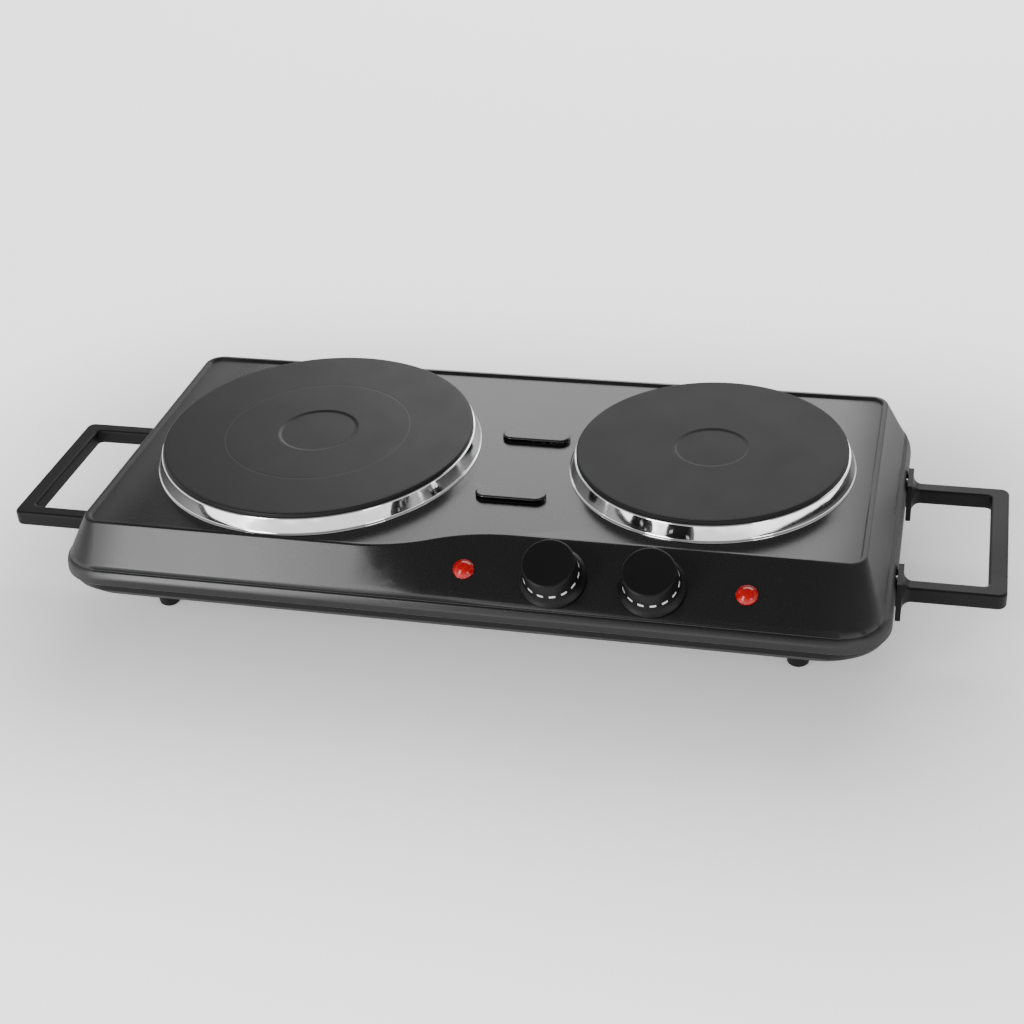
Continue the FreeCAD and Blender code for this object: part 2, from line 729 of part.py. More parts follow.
def stud(size):
    owner = body(f"{size}_clamp_stud", at_plate(size))
    revolve(
        owner,
        [
            ("0", "plate_top - 37"),
            ("stud_radius - 0.6", "plate_top - 37"),
            ("stud_radius", "plate_top - 36.4"),
            ("stud_radius", "plate_top - 6.6"),
            ("0", "plate_top - 6.6"),
        ],
    )


def hexagon(drawn, across_flats):
    """A regular hexagon about the origin."""
    corner = f"({across_flats}) / sqrt(3)"
    flat = f"({across_flats}) / 2"
    outline(
        drawn,
        [
            (corner, "0"),
            (f"{corner} / 2", flat),
            (f"-{corner} / 2", flat),
            (f"-{corner}", "0"),
            (f"-{corner} / 2", f"-{flat}"),
            (f"{corner} / 2", f"-{flat}"),
        ],
    )


def template(label):
    """A body that is only copied, never exported itself."""
    return doc.addObject("PartDesign::Body", label)


def nut(label, across_flats, radius, height):
    owner = template(label)
    drawn = sketch(owner, "XY_Plane", label + "_flats")
    hexagon(drawn, across_flats)
    circle(drawn, "0", "0", radius)
    pad(owner, drawn, height)
    return owner


def group(label, original, placements):
    """Identical small pieces in one node, as linked copies of one body."""
    copies = []
    for index, placement in enumerate(placements):
        copy = doc.addObject("App::Link", f"{label}_{index + 1}")
        copy.LinkedObject = original
        copy.Placement = placement
        copies.append(copy)
    together = doc.addObject("Part::Compound", label)
    together.Links = copies
    sub_part(together, label)


def terminal_block(size):
    """Ceramic block under the cover pan, where the coil's leads come out."""
    owner = body(f"{size}_plate_terminals", at_plate(size))
    drawn = sketch(owner, "XY_Plane", f"{size}_terminals", "plate_top - 34")
    rectangle(drawn, "-13", "-47", "13", "-35")
    pad(owner, drawn, "11")
    tabs = sketch(owner, "XY_Plane", f"{size}_tabs", "plate_top - 38")
    for across in ("-6", "6"):
        rectangle(tabs, f"{across} - 3", "-41.4", f"{across} + 3", "-40.6")
    pad(owner, tabs, "4.5")
    round_edges(owner, lambda edge: edge.Length > 25 and middle_of(edge).z < number("plate_top") - 30, 1.0)


for size, turns in (("large", 5), ("small", 4)):
    cooking_plate(size)
    trim_ring(size)
    heating_coil(size, turns)
    insulation(size)
    cover_pan(size)
    clamp_strap(size)
    stud(size)
    terminal_block(size)
stud_nut = nut("stud_nut", "10", "stud_radius", "5")
group(
    "clamp_nuts",
    stud_nut,
    [at_plate(size, f"plate_top - {down}") for size in ("large", "small") for down in (28, 35)],
)


# Controls in the panel: thermostat, shaft, nut, clip and knob, and a lamp for each plate.


def thermostat(size):
    owner = body(f"{size}_thermostat", on_panel(f"{size}_knob_across"))
    revolve(
        owner,
        [
            ("0", "-4"),
            ("9", "-4"),
            ("9", "-sheet_wall - 0.15"),
            ("bushing_radius", "-sheet_wall - 0.15"),
            ("bushing_radius", "4.1"),
            ("bushing_radius - 0.4", "4.5"),
            ("0", "4.5"),
        ],
        "bushing",
    )
    case = sketch(owner, "XY_Plane", f"{size}_case", "-20")
    rectangle(case, "-17", "-13", "17", "13")
    pad(owner, case, "17")
    round_edges(owner, lambda edge: abs(edge.Length - 17) < 0.01, 2.0)
    tabs = sketch(owner, "XY_Plane", f"{size}_spades", "-28")
    for across in ("-8", "8"):
        rectangle(tabs, f"{across} - 3", "-0.4", f"{across} + 3", "0.4")
    pad(owner, tabs, "8.5")
    bore = sketch(owner, "XY_Plane", f"{size}_shaft_bore", "5")
    circle(bore, "0", "0", "shaft_radius + shaft_play")
    pocket(owner, bore, "20.5")


def shaft(size):
    owner = body(f"{size}_thermostat_shaft", on_panel(f"{size}_knob_across"))
    revolve(
        owner,
        [
            ("0", "-15"),
            ("shaft_radius - 0.5", "-15"),
            ("shaft_radius", "-14.5"),
            ("shaft_radius", "14.6"),
            ("shaft_radius - 0.4", "15"),
            ("0", "15"),
        ],
    )
    flat = sketch(owner, "XY_Plane", f"{size}_flat", "15.1")
    rectangle(flat, "-4", "shaft_radius - 0.7", "4", "shaft_radius + 1")
    pocket(owner, flat, "7")


def knob(size):
    owner = body(f"{size}_knob", on_panel(f"{size}_knob_across"))
    revolve(
        owner,
        [
            ("shaft_radius + 0.02", "7.5"),
            ("6", "7.5"),
            ("6", "knob_height - 2.3"),
            ("knob_face - 1.4", "knob_height - 2.3"),
            ("knob_face - 0.4", "6"),
            ("knob_skirt - 2.6", "knob_gap"),
            ("knob_skirt", "knob_gap"),
            ("knob_skirt", "knob_gap + 1.3"),
            ("knob_skirt - 1.9", "knob_gap + 2.2"),
            ("knob_face + 1.2", "5.8"),
            ("knob_face + 0.6", "knob_height - 1"),
            ("knob_face - 0.4", "knob_height"),
            ("0", "knob_height"),
            ("0", "knob_height - 3.2"),
            ("shaft_radius + 0.02", "knob_height - 3.2"),
        ],
    )


def clip(size):
    """Spring ring round the knob's hub, open on one side."""
    owner = body(f"{size}_knob_clip", on_panel(f"{size}_knob_across"))
    revolve(owner, [("6", "9"), ("6.7", "9"), ("6.7", "12"), ("6", "12")])
    slit = sketch(owner, "XY_Plane", f"{size}_clip_slit", "13")
    rectangle(slit, "-1.5", "4", "1.5", "8")
    pocket(owner, slit, "5")


def lamp(side):
    place = on_panel(f"{side}_lamp_across")
    lens = body(f"{side}_lamp_lens", place)
    dome = "lens_radius - 0.5"
    rise = "(lens_height - 0.9)"
    revolve(
        lens,
        [
            ("2.6", "-7"),
            ("lens_radius - 1.4", "-7"),
            ("lens_radius - 1.4", "0.15"),
            ("lens_radius", "0.15"),
            ("lens_radius", "0.7"),
            (dome, "0.9", f"(({dome})^2 + {rise}^2) / (2 * {rise})", 1),
            ("0", "lens_height"),
            ("0", "1.6"),
            ("2.6", "0.6"),
        ],
    )
    bulb = body(f"{side}_lamp_bulb", place)
    revolve(
        bulb,
        [
            ("0", "-14"),
            ("1.2", "-14"),
            ("2.2", "-12.5"),
            ("2.2", "-1.2"),
            ("1.2", "0.3"),
            ("0", "0.3"),
        ],
    )


for size in ("large", "small"):
    thermostat(size)
    shaft(size)
    knob(size)
    clip(size)
for side in ("left", "right"):
    lamp(side)
group(
    "thermostat_nuts",
    nut("bushing_nut", "14", "bushing_radius", "2.5"),
    [on_panel(f"{size}_knob_across") * turned(0, 0, 0.1) for size in ("large", "small")],
)
speed_clip = template("speed_clip")
revolve(
    speed_clip,
    [("lens_radius - 1.4", "0"), ("8", "0"), ("8", "0.6"), ("lens_radius - 1.4", "0.6")],
)
group(
    "lamp_clips",
    speed_clip,
    [on_panel(f"{side}_lamp_across") * turned(0, 0, -1.8) for side in ("left", "right")],
)


# Posts, feet and screws.

post = template("post")
revolve(
    post,
    [
        ("2", "floor_low + sheet_wall"),
        ("post_radius", "floor_low + sheet_wall"),
        ("post_radius", "deck_top - sheet_wall"),
        ("0", "deck_top - sheet_wall"),
        ("0", "40"),
        ("2", "40"),
    ],
)
FOOT_PLACES = {
    "front_left": ("-foot_across", "-foot_front"),
    "front_right": ("foot_across", "-foot_front"),
    "back_left": ("-foot_across", "foot_front"),
    "back_right": ("foot_across", "foot_front"),
}
foot_spots = {name: turned(number(x), number(y), 0) for name, (x, y) in FOOT_PLACES.items()}
group("support_posts", post, foot_spots.values())
for name, spot in foot_spots.items():
    foot = body(f"{name}_foot", spot)
    revolve(
        foot,
        [
            ("0", "0"),
            ("foot_radius - 1", "0"),
            ("foot_radius", "1"),
            ("foot_radius + 2", "floor_low - 3"),
            ("foot_radius + 2", "floor_low"),
            ("2", "floor_low"),
            ("2", "9.4"),
            ("4", "9.4"),
            ("4", "7"),
            ("0", "7"),
        ],
    )


def screw(label, radius, head, head_height, length):
    """A round-headed screw along Z: the head's underside is at the origin and the shank goes up."""
    owner = template(label)
    revolve(
        owner,
        [
            ("0", f"-{head_height}"),
            (f"{head} - 0.8", f"-{head_height}"),
            (head, f"-{head_height} + 0.8"),
            (head, "0"),
            (radius, "0"),
            (radius, f"{length} - 0.8"),
            (f"{radius} - 0.6", length),
            ("0", length),
        ],
    )
    cross = sketch(owner, "XY_Plane", label + "_cross", f"-{head_height}")
    rectangle(cross, f"0.8 - {head}", "-0.5", f"{head} - 0.8", "0.5")
    pocket(owner, cross, "1", backwards=True)
    return owner


group(
    "foot_studs",
    screw("foot_stud", "2", "4", "2.4", "26"),
    [spot * turned(0, 0, 9.4) for spot in foot_spots.values()],
)
wall_inside = number("floor_side + 20.1")
arm = number("(handle_span - arm_width) / 2")
screw_height = number("pad_high - 3")
group(
    "handle_screws",
    screw("handle_screw", "1.5", "2.8", "2", "5.4"),
    [
        turned(side * wall_inside, number("handle_middle") + place * arm, screw_height, Y_AXIS, side * 90)
        for side in (-1, 1)
        for place in (-1, 1)
    ],
)


# Mains side: cord bushing, terminal block, earth screw and the wires.

bushing = body("cord_bushing", cord_place)
revolve(
    bushing,
    [
        ("cord_bore", "-4"),
        ("cord_bore + 3.6", "-4"),
        ("cord_bore + 3.6", "-sheet_wall - 0.3"),
        ("cord_bore + 2.4", "-sheet_wall - 0.3"),
        ("cord_bore + 2.4", "0.1"),
        ("cord_bore + 4", "0.1"),
        ("cord_bore + 4", "2"),
        ("cord_bore + 2.6", "3"),
        ("cord_bore + 2.2", "cord_reach - 0.8"),
        ("cord_bore + 1.6", "cord_reach"),
        ("cord_bore", "cord_reach"),
    ],
)

block_place = turned(number("cord_across"), 70, number("floor_low + sheet_wall"))
block = body("mains_terminal_block", block_place)
block_base = sketch(block, "XY_Plane", "block_base")
rectangle(block_base, "-18", "-9", "18", "9")
pad(block, block_base, "9")
block_poles = sketch(block, "XY_Plane", "block_poles", "8.9")
block_entries = sketch(block, "XZ_Plane", "block_entries")
block_screws = sketch(block, "XY_Plane", "block_screws", "14")
for index in (-1, 0, 1):
    rectangle(block_poles, f"{11.5 * index - 4.5}", "-8", f"{11.5 * index + 4.5}", "8")
    circle(block_entries, str(11.5 * index), "6", "wire_radius + 0.05")
    circle(block_screws, str(11.5 * index), "4", "1.8")
pad(block, block_poles, "5.1")
pocket(block, block_entries, "5", through=True, both_ways=True)
pocket(block, block_screws, "6")
group(
    "terminal_screws",
    screw("terminal_screw", "1.7", "1.75", "1.2", "3.5"),
    [block_place * turned(11.5 * index, 4, 12.4, X_AXIS, 180) for index in (-1, 0, 1)],
)
earth = body("earth_screw", turned(60, 78, number("floor_low + sheet_wall")))
revolve(earth, [("0", "0"), ("4.5", "0"), ("4.5", "2.5"), ("2", "2.5"), ("2", "7"), ("0", "7")])


def wire(label, points, bend=9.0):
    """A round wire along straight runs joined by tangent arcs."""
    spots = [FreeCAD.Vector(*point) for point in points]
    edges = []
    here = spots[0]
    for before, corner, after in zip(spots, spots[1:], spots[2:]):
        inward = (corner - before).normalize()
        outward = (after - corner).normalize()
        half_turn = inward.getAngle(outward) / 2
        cut = bend * math.tan(half_turn)
        start = corner - inward * cut
        stop = corner + outward * cut
        bisector = (outward - inward).normalize()
        middle = corner + bisector * (bend / math.cos(half_turn) - bend)
        edges.append(Part.LineSegment(here, start).toShape())
        edges.append(Part.Arc(start, middle, stop).toShape())
        here = stop
    edges.append(Part.LineSegment(here, spots[-1]).toShape())
    path = Part.Wire(edges)
    radius = number("wire_radius")
    profile = Part.Wire([Part.makeCircle(radius, spots[0], spots[1] - spots[0])])
    run = doc.addObject("Part::Feature", label)
    run.Shape = path.makePipeShell([profile], True, False)
    expected = math.pi * radius**2 * path.Length
    if abs(run.Shape.Volume / expected - 1) > 0.01:
        raise RuntimeError(f"{label}: the tube's volume is {run.Shape.Volume:.1f}, not {expected:.1f}")
    sub_part(run, label)


def spade(size, across):
    """The end of a thermostat's spade, just clear of its metal."""
    tip = on_panel(f"{size}_knob_across") * turned(across, 0, -29.2)
    return (tip.Base.x, tip.Base.y, tip.Base.z)


def plate_tab(size, across):
    """The end of a plate's lead tab, just clear of its metal."""
    return (number(f"{size}_across") + across, number(f"{size}_back") - 41, number("plate_top") - 38.2)


pole_front = 61.0
pole_height = number("floor_low + sheet_wall") + 6
live_pole, neutral_pole, earth_pole = (number("cord_across") + 11.5 * index for index in (-1, 0, 1))
pair_offset = 1.3  # two wires side by side in one pole
wire(
    "large_live_wire",
    [
        (live_pole - pair_offset, pole_front, pole_height),
        (live_pole - pair_offset, -30, pole_height),
        spade("large", -8),
    ],
)
wire(
    "small_live_wire",
    [
        (live_pole + pair_offset, pole_front, pole_height),
        (live_pole + pair_offset, 20, pole_height),
        (102, -40, pole_height + 3),
        spade("small", -8),
    ],
)
wire(
    "large_switched_wire",
    [spade("large", 8), (60, -70, 37), (-90, -62, 36), (-102.2, -41, 34), plate_tab("large", 6)],
    6.0,
)
wire(
    "small_switched_wire",
    [spade("small", 8), (124, -62, 34), (131.3, -29.4, 32), plate_tab("small", 6)],
    4.0,
)
wire(
    "large_neutral_wire",
    [
        plate_tab("large", -6),
        (-114.2, -41, 32),
        (-90, 30, 26),
        (neutral_pole - pair_offset, 45, 26),
        (neutral_pole - pair_offset, 53, pole_height),
        (neutral_pole - pair_offset, pole_front, pole_height),
    ],
    4.0,
)
wire(
    "small_neutral_wire",
    [
        plate_tab("small", -6),
        (119.3, -29.4, 31),
        (neutral_pole + pair_offset, 50, pole_height),
        (neutral_pole + pair_offset, pole_front, pole_height),
    ],
    4.0,
)
wire(
    "earth_wire",
    [
        (earth_pole, pole_front, pole_height),
        (earth_pole, 50, pole_height),
        (60, 50, pole_height - 1),
        (60, 75.6, pole_height - 1),
    ],
    5.0,
)


# Check everything, then write one file for each sub-part.

doc.recompute()
for thing in doc.Objects:
    if {"Invalid", "Error"} & set(thing.State):
        raise RuntimeError(f"{thing.Label} failed: {thing.getStatusString()}")
for part in parts:
    if part.Shape.isNull() or not part.Shape.isValid() or part.Shape.Volume <= 0:
        raise RuntimeError(f"{part.Label} has no valid shape")
os.makedirs("parts", exist_ok=True)
for part in parts:
    part.Shape.exportStep(os.path.join("parts", part.Label + ".step"))
    print(f"{part.Label}: {len(part.Shape.Solids)} solid(s), {part.Shape.Volume / 1000:.2f} cm3")
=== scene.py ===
"""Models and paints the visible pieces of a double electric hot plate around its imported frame."""

import json
import math

import bpy
from mathutils import Matrix, Vector


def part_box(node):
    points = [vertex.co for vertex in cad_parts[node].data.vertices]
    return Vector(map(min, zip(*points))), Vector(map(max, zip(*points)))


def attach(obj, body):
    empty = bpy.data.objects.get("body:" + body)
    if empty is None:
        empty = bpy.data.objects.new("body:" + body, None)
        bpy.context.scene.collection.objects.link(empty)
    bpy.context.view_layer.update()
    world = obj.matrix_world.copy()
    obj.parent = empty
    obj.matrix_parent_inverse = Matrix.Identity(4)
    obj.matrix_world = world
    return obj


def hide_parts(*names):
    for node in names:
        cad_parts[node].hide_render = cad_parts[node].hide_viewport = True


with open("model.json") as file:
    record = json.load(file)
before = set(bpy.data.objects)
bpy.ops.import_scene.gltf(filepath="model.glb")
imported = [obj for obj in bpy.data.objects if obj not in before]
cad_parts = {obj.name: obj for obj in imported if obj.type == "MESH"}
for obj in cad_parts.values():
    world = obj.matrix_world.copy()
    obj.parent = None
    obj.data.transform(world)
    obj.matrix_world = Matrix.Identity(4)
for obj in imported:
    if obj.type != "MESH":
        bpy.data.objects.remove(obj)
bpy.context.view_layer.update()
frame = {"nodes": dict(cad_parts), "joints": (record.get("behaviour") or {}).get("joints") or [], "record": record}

bl_info = {
    "name": "Hot Plate Finisher",
    "version": (1, 0, 0),
    "blender": (4, 5, 0),
    "location": "View3D > Sidebar > Hot Plate",
    "description": "Models and paints the pieces of a double electric hot plate",
    "category": "Object",
}

MM = 0.001
HOUSING = "housing"
SIZES = ("large", "small")
JOINTS = {joint["name"]: joint for joint in frame["joints"]}
SLOTS = {part["node"]: part["material_slot"] for part in frame["record"]["subparts"]}


# Settings that a user would change.


class EnamelSettings(bpy.types.PropertyGroup):
    colour: bpy.props.FloatVectorProperty(
        name="Enamel colour",
        description="Black stove enamel of the body",
        default=(0.0075, 0.0075, 0.008),
        min=0,
        max=1,
        subtype="COLOR",
    )
    roughness: bpy.props.FloatProperty(
        name="Enamel roughness",
        description="How blurred the body's reflections are",
        default=0.24,
        min=0,
        max=1,
        subtype="FACTOR",
    )


class PlateSettings(bpy.types.PropertyGroup):
    colour: bpy.props.FloatVectorProperty(
        name="Iron colour",
        description="Turned iron with its heat-proof coat",
        default=(0.011, 0.011, 0.0115),
        min=0,
        max=1,
        subtype="COLOR",
    )
    pitch: bpy.props.FloatProperty(
        name="Turning pitch",
        description="Distance from one turning mark to the next",
        default=0.9 * MM,
        min=0.2 * MM,
        unit="LENGTH",
    )
    ring_radius: bpy.props.FloatProperty(
        name="Ring radius",
        description="Radius of the fine ring turned into the large plate",
        default=55 * MM,
        min=30 * MM,
        max=85 * MM,
        unit="LENGTH",
    )


class KnobSettings(bpy.types.PropertyGroup):
    colour: bpy.props.FloatVectorProperty(
        name="Plastic colour",
        description="Black plastic of the knobs and handles",
        default=(0.0065, 0.0065, 0.0068),
        min=0,
        max=1,
        subtype="COLOR",
    )
    dashes: bpy.props.IntProperty(
        name="Dashes",
        description="Number of white dashes round a knob",
        default=13,
        min=1,
        max=14,
    )
    dash_step: bpy.props.FloatProperty(
        name="Dash step",
        description="Angle from one dash to the next",
        default=math.radians(25),
        min=math.radians(15),
        max=math.radians(60),
        subtype="ANGLE",
    )


class LampSettings(bpy.types.PropertyGroup):
    colour: bpy.props.FloatVectorProperty(
        name="Lens colour",
        description="Red of the pilot lamps",
        default=(0.52, 0.001, 0.002),
        min=0,
        max=1,
        subtype="COLOR",
    )


class StageSettings(bpy.types.PropertyGroup):
    azimuth: bpy.props.FloatProperty(
        name="Azimuth",
        description="Camera's turn to the right of straight in front",
        default=math.radians(16.0),
        subtype="ANGLE",
    )
    elevation: bpy.props.FloatProperty(
        name="Elevation",
        description="Camera's height above the level, as an angle",
        default=math.radians(32.6),
        subtype="ANGLE",
    )
    roll: bpy.props.FloatProperty(
        name="Roll",
        description="Camera's turn about its line of sight",
        default=math.radians(-4.2),
        subtype="ANGLE",
    )
    stand: bpy.props.FloatVectorProperty(
        name="Camera place",
        description="Where the camera stands",
        default=(0.2518, -0.8498, 0.5989),
        subtype="TRANSLATION",
        unit="LENGTH",
    )
    lens: bpy.props.FloatProperty(
        name="Lens",
        description="Focal length for a 36 mm wide sensor",
        default=62.1,
        min=10,
        unit="CAMERA",
    )
    back_light: bpy.props.FloatProperty(
        name="Back light",
        description="Power of the wide light behind",
        default=31.0,
        min=0,
        unit="POWER",
    )
    left_light: bpy.props.FloatProperty(
        name="Left light",
        description="Power of the light in front on the left",
        default=21.0,
        min=0,
        unit="POWER",
    )
    right_light: bpy.props.FloatProperty(
        name="Right light",
        description="Power of the light in front on the right",
        default=5.0,
        min=0,
        unit="POWER",
    )


class HotPlateSettings(bpy.types.PropertyGroup):
    enamel: bpy.props.PointerProperty(type=EnamelSettings)
    plate: bpy.props.PointerProperty(type=PlateSettings)
    knob: bpy.props.PointerProperty(type=KnobSettings)
    lamp: bpy.props.PointerProperty(type=LampSettings)
    stage: bpy.props.PointerProperty(type=StageSettings)


# Shader maths.


class Wire:
    """A node's output; sums, products and comparisons of wires and numbers add their Math nodes."""

    def __init__(self, nodes, socket):
        self.nodes = nodes
        self.socket = socket

    def joined(self, operation, *values):
        inputs = dict(enumerate(values))
        return self.nodes.node("ShaderNodeMath", {"operation": operation}, inputs)

    def __add__(self, other):
        return self.joined("ADD", self, other)

    __radd__ = __add__

    def __sub__(self, other):
        return self.joined("SUBTRACT", self, other)

    def __rsub__(self, other):
        return self.joined("SUBTRACT", other, self)

    def __mul__(self, other):
        return self.joined("MULTIPLY", self, other)

    __rmul__ = __mul__

    def __pow__(self, other):
        return self.joined("POWER", self, other)

    def __abs__(self):
        return self.joined("ABSOLUTE", self)

    def sine(self):
        return self.joined("SINE", self)

    def larger(self, other):
        return self.joined("MAXIMUM", self, other)

    def smooth(self, low, high):
        """0 below low, 1 above high, and a smooth step between them."""
        inputs = {"Value": self, "From Min": low, "From Max": high}
        return self.nodes.node("ShaderNodeMapRange", {"interpolation_type": "SMOOTHSTEP"}, inputs)


class Nodes:
    """The nodes of a material or a world, made and fed in one way."""

    def __init__(self, tree):
        self.tree = tree

    def feed(self, node, inputs):
        for key, value in inputs.items():
            socket = node.inputs[key.replace("_", " ") if isinstance(key, str) else key]
            if isinstance(value, Wire):
                self.tree.links.new(value.socket, socket)
            else:
                socket.default_value = value

    def node(self, kind, settings, inputs, output=0):
        """A new node: its settings first, then its sockets' values or links; gives one of its outputs."""
        node = self.tree.nodes.new(kind)
        for key, value in settings.items():
            setattr(node, key, value)
        self.feed(node, inputs)
        return Wire(self, node.outputs[output])

    def apart(self, vector):
        """The three numbers of a vector."""
        node = self.node("ShaderNodeSeparateXYZ", {}, {"Vector": vector}).socket.node
        return [Wire(self, output) for output in node.outputs]


class Paint(Nodes):
    """A new material and the nodes that feed its Principled shader."""

    def __init__(self, name, **sockets):
        self.material = bpy.data.materials.new(name)
        self.material.use_nodes = True
        super().__init__(self.material.node_tree)
        self.shader = self.tree.nodes["Principled BSDF"]
        self.feed(self.shader, sockets)

    def place(self, centre=(0, 0, 0)):
        """Object coordinates, counted from a point."""
        coordinates = self.node("ShaderNodeTexCoord", {}, {}, "Object")
        return self.node(
            "ShaderNodeVectorMath", {"operation": "SUBTRACT"}, {0: coordinates, 1: tuple(centre)}
        )

    def noise(self, vector, size, detail=3.0):
        """Noise whose lumps are about that size, in metres."""
        inputs = {"Vector": vector, "Scale": 1 / size, "Detail": detail}
        return self.node("ShaderNodeTexNoise", {}, inputs)

    def blend(self, share, first, second):
        """From the first colour to the second as share goes from 0 to 1."""
        inputs = {0: share, 6: (*first, 1.0), 7: (*second, 1.0)}
        return self.node("ShaderNodeMix", {"data_type": "RGBA"}, inputs, 2)

    def relief(self, height, depth):
        """The normal of a relief whose height goes from 0 to 1 over that depth, in metres."""
        inputs = {"Height": height, "Distance": depth, "Strength": 1.0}
        return self.node("ShaderNodeBump", {}, inputs)


def shaded(colour, factor):
    return tuple(min(1.0, channel * factor) for channel in colour)


# Finishes.

ENDS_START = 50 * MM  # in from the body's end, where the enamel begins to dull
ENDS_FULL = 4 * MM  # in from the body's end, where it is dullest
ENDS_DULLING = 0.34
CHROME_DARK = (0.86, 0.86, 0.87)
CHROME_LIGHT = (0.95, 0.95, 0.95)
INK = (0.78, 0.78, 0.76)
LENS_CELL = 1.3 * MM


def grained(name, colour, roughness, grain, depth, spread=0.25, metallic=0.0, **constants):
    """A finish with cloudy colour and gloss, and a fine grain of that size and depth, in metres."""
    paint = Paint(name, Metallic=metallic, **constants)
    place = paint.place()
    clouds = paint.noise(place, 35 * MM)
    fine = paint.noise(place, grain, 2.0)
    paint.feed(
        paint.shader,
        {
            "Base Color": paint.blend(clouds, shaded(colour, 1 - spread), shaded(colour, 1 + spread)),
            "Roughness": clouds * (0.3 * roughness) + fine * (0.2 * roughness) + 0.75 * roughness,
            "Normal": paint.relief(fine, depth),
        },
    )
    return paint.material


def enamel(settings):
    """Stove enamel: glossy, duller on the end walls, with a slight orange peel and the odd fleck."""
    paint = Paint("enamel", Specular_IOR_Level=0.5)
    place = paint.place()
    low, high = (Vector(corner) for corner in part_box("top_housing"))
    edge = (high.x - low.x) / 2
    across, _, _ = paint.apart(place)
    ends = abs(across).smooth(edge - ENDS_START, edge - ENDS_FULL)
    clouds = paint.noise(place, 60 * MM)
    peel = paint.noise(place, 1.6 * MM, 1.0)
    flecks = paint.noise(place, 0.5 * MM, 1.0).smooth(0.62, 0.8)
    colour = tuple(settings.colour)
    smoothest = settings.roughness - 0.025
    paint.feed(
        paint.shader,
        {
            "Base Color": paint.blend(flecks, colour, shaded(colour, 2.2)),
            "Roughness": clouds * 0.05 + flecks * 0.1 + ends * ENDS_DULLING + smoothest,
            "Normal": paint.relief(peel, 0.012 * MM),
        },
    )
    return paint.material


def turned_iron(name, centre, dish, ring, dullness, settings):
    """Turned iron: fine rings about the centre, with a painted highlight on the rim of the dish."""
    paint = Paint(name, Specular_IOR_Level=0.2)
    place = paint.place(centre)
    across, back, _ = paint.apart(place)
    radius = (across * across + back * back) ** 0.5
    clouds = paint.noise(place, 28 * MM, 4.0)
    grain = paint.noise(place, 0.45 * MM, 2.0)
    wander = paint.noise(place, 14 * MM, 2.0) * (0.35 * settings.pitch)
    marks = ((radius + wander) * (2 * math.pi / settings.pitch)).sine() * 0.5 + 0.5
    # Painted highlight: a lighter colour along the rim of the dish and, fainter, along the fine ring
    rim_highlight = 1 - abs(radius - dish).smooth(0.1 * MM, 0.9 * MM)
    if ring:
        ring_highlight = 1 - abs(radius - ring).smooth(0.1 * MM, 1.4 * MM)
        rim_highlight = rim_highlight + ring_highlight * 0.35
    colour = tuple(settings.colour)
    paint.feed(
        paint.shader,
        {
            # The base colour carries the painted highlight as well as the random clouds and the turning marks
            "Base Color": paint.blend(
                clouds * 0.45 + marks * 0.12 + rim_highlight * 0.4, shaded(colour, 0.75), shaded(colour, 2.0)
            ),
            "Roughness": clouds * 0.12 + grain * 0.08 - rim_highlight * 0.1 + dullness,
            "Normal": paint.relief(marks * 0.5 + grain * 0.5, 0.018 * MM),
        },
    )
    return paint.material


def chrome():
    """Chromed steel pressing: nearly a mirror, with a slow waviness."""
    paint = Paint("chrome", Metallic=1.0)
    place = paint.place()
    waves = paint.noise(place, 18 * MM, 1.0)
    smears = paint.noise(place, 6 * MM, 4.0)
    paint.feed(
        paint.shader,
        {
            "Base Color": paint.blend(smears, CHROME_DARK, CHROME_LIGHT),
            "Roughness": smears * 0.06 + 0.04,
            "Normal": paint.relief(waves, 0.25 * MM),
        },
    )
    return paint.material


def lens_red(settings):
    """Red plastic under a clear coat, with darker and lighter cells like a ribbed inside."""
    paint = Paint("lens_red", Coat_Weight=0.35, Coat_Roughness=0.03, Specular_IOR_Level=0.3)
    cells = paint.node("ShaderNodeTexVoronoi", {}, {"Vector": paint.place(), "Scale": 1 / LENS_CELL})
    colour = tuple(settings.colour)
    paint.feed(
        paint.shader,
        {
            "Base Color": paint.blend(cells * 0.9, shaded(colour, 1.2), shaded(colour, 0.55)),
            "Roughness": cells * 0.1 + 0.1,
        },
    )
    return paint.material


def white_print():
    """White ink, a little worn."""
    return grained("white_print", INK, 0.5, 0.3 * MM, 0.01 * MM, 0.12)


# Modelling helpers.

WELD_DISTANCE = 0.002 * MM
FLATNESS = math.radians(0.4)


def clear_selection():
    if bpy.context.mode != "OBJECT":
        bpy.ops.object.mode_set(mode="OBJECT")
    bpy.ops.object.select_all(action="DESELECT")


def take(piece):
    """Makes the piece the only selected and the active one."""
    clear_selection()
    piece.select_set(True)
    bpy.context.view_layer.objects.active = piece


def started(name):
    """Names the primitive just added and puts its place into its mesh."""
    piece = bpy.context.object
    piece.name = name
    piece.data.name = name
    bpy.ops.object.transform_apply(location=True, rotation=True, scale=True)
    return piece


def applied(piece, kind, **settings):
    """Adds a modifier, sets it and applies it."""
    take(piece)
    modifier = piece.modifiers.new(kind.title(), kind)
    for key, value in settings.items():
        setattr(modifier, key, value)
    bpy.ops.object.modifier_apply(modifier=modifier.name)


def moved(piece, matrix):
    """Moves the piece and puts the new place into its mesh."""
    take(piece)
    piece.matrix_world = matrix
    bpy.ops.object.transform_apply(location=True, rotation=True, scale=True)


def finished(piece, material, body, nodes, angle=35.0):
    """Smooths, paints and hands over a finished piece."""
    take(piece)
    bpy.ops.object.shade_smooth_by_angle(angle=math.radians(angle))
    applied(piece, "WEIGHTED_NORMAL", keep_sharp=True)
    piece.data.materials.clear()
    piece.data.materials.append(material)
    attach(piece, body)
    if nodes:
        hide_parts(*nodes)


